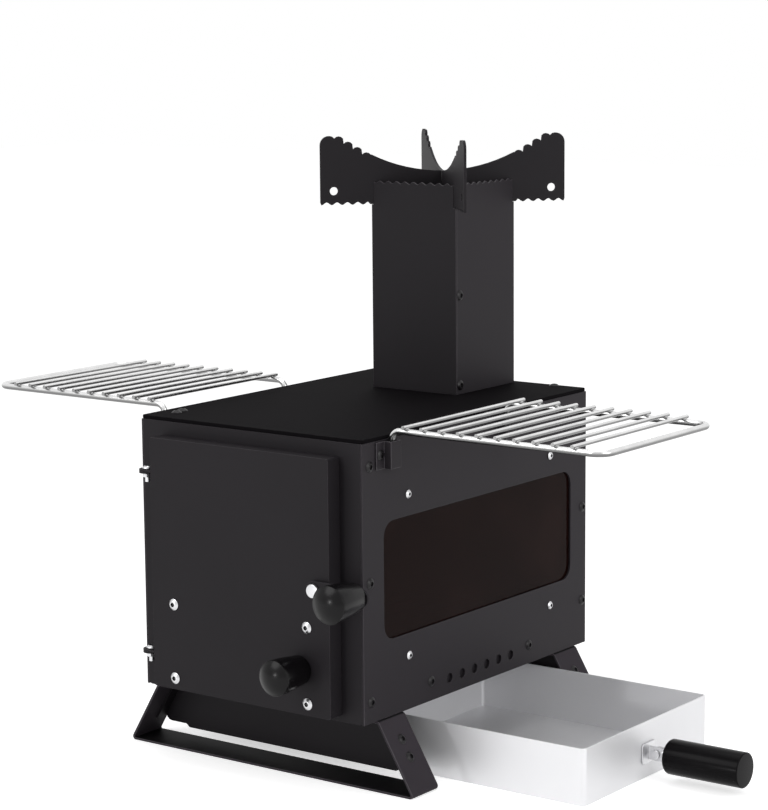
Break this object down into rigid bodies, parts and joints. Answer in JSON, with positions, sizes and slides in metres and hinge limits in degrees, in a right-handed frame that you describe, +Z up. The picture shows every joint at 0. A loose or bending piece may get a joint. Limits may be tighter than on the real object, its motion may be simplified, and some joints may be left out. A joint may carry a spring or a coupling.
{
  "type": "tent wood stove",
  "caption": "Sheet-metal tent wood stove with a hinged door, side window, square flue with pot support, wire side racks and a slide-in baking pan.",
  "frame": {"origin": "on the ground, at the middle of the footprint of the whole assembly with its racks and baking pan in place", "axes": "+X to the right seen from the door, +Y to the back, +Z up"},
  "size_m": [0.7142, 0.4284, 0.535],
  "materials": {
    "satin_black": "satin black heat-resistant paint",
    "inner_steel": "plain rolled steel inside the firebox",
    "zinc_plate": "bright zinc-plated steel",
    "chrome_wire": "bright chrome-plated wire",
    "black_phenolic": "black phenolic resin with a soft gloss",
    "pan_steel": "pale brushed steel",
    "window_glass": "clear heat-resistant glass"
  },
  "bodies": {
    "firebox": {"base_plate": "satin_black", "right_side_panel": "satin_black", "left_side_panel": "satin_black", "front_frame": "satin_black", "rear_panel": "satin_black", "top_plate": "satin_black", "flue_collar": "satin_black", "window_glass": "window_glass", "window_clamp": "inner_steel", "fire_grate": "inner_steel", "window_screw_lower_front": "zinc_plate", "window_screw_lower_rear": "zinc_plate", "window_screw_upper_front": "zinc_plate", "window_screw_upper_rear": "zinc_plate", "lower_hinge_bolt": "zinc_plate", "upper_hinge_bolt": "zinc_plate", "lower_hinge_nut": "zinc_plate", "upper_hinge_nut": "zinc_plate", "right_front_sleeve": "satin_black", "right_rear_sleeve": "satin_black", "left_front_sleeve": "satin_black", "left_rear_sleeve": "satin_black", "front_foot": "satin_black", "rear_foot": "satin_black", "front_apron": "satin_black", "rear_apron": "satin_black"},
    "door": {"door_pan": "satin_black", "door_baffle": "inner_steel", "door_screw_lower_left": "zinc_plate", "door_screw_lower_right": "zinc_plate", "door_screw_upper_left": "zinc_plate", "door_screw_upper_right": "zinc_plate"},
    "latch": {"latch_lever": "satin_black", "latch_bolt": "zinc_plate", "latch_washer": "zinc_plate", "latch_tongue": "inner_steel", "latch_nut": "zinc_plate", "latch_knob": "black_phenolic"},
    "air_control": {"air_shutter": "inner_steel", "air_knob": "black_phenolic"},
    "right_rack": {"right_rack": "chrome_wire"},
    "left_rack": {"left_rack": "chrome_wire"},
    "flue": {"flue_front_half": "satin_black", "flue_rear_half": "satin_black"},
    "lower_pot_plate": {"lower_pot_plate": "satin_black"},
    "upper_pot_plate": {"upper_pot_plate": "satin_black"},
    "pan": {"pan_body": "pan_steel", "pan_bracket": "zinc_plate", "handle_pin": "zinc_plate"},
    "pan_handle": {"handle_fork": "zinc_plate", "handle_grip": "black_phenolic"}
  },
  "joints": [
    {"name": "door_hinge", "type": "hinge", "parent": "firebox", "child": "door", "pos_m": [-0.1319, -0.16225, 0.1755], "axis": [0, 0, -1], "range_deg": [0, 150]},
    {"name": "latch_turn", "type": "hinge", "parent": "door", "child": "latch", "pos_m": [0.0591, -0.17425, 0.1763], "axis": [0, 1, 0], "range_deg": [0, 80]},
    {"name": "air_turn", "type": "hinge", "parent": "door", "child": "air_control", "pos_m": [0.0401, -0.17025, 0.1055], "axis": [0, 1, 0], "range_deg": [0, 90]},
    {"name": "right_rack_lift", "type": "slide", "parent": "firebox", "child": "right_rack", "axis": [0, 0, 1], "range_m": [0, 0.06]},
    {"name": "left_rack_lift", "type": "slide", "parent": "firebox", "child": "left_rack", "axis": [0, 0, 1], "range_m": [0, 0.06]},
    {"name": "flue_lift", "type": "slide", "parent": "firebox", "child": "flue", "axis": [0, 0, 1], "range_m": [0, 0.05]},
    {"name": "lower_plate_lift", "type": "slide", "parent": "flue", "child": "lower_pot_plate", "axis": [0, 0, 1], "range_m": [0, 0.05]},
    {"name": "upper_plate_lift", "type": "slide", "parent": "lower_pot_plate", "child": "upper_pot_plate", "axis": [0, 0, 1], "range_m": [0, 0.05]},
    {"name": "pan_slide", "type": "slide", "parent": "firebox", "child": "pan", "axis": [-1, 0, 0], "range_m": [0, 0.16]},
    {"name": "handle_fold", "type": "hinge", "parent": "pan", "child": "pan_handle", "pos_m": [0.2671, 0.03175, 0.022], "axis": [0, -1, 0], "range_deg": [0, 60]}
  ]
}
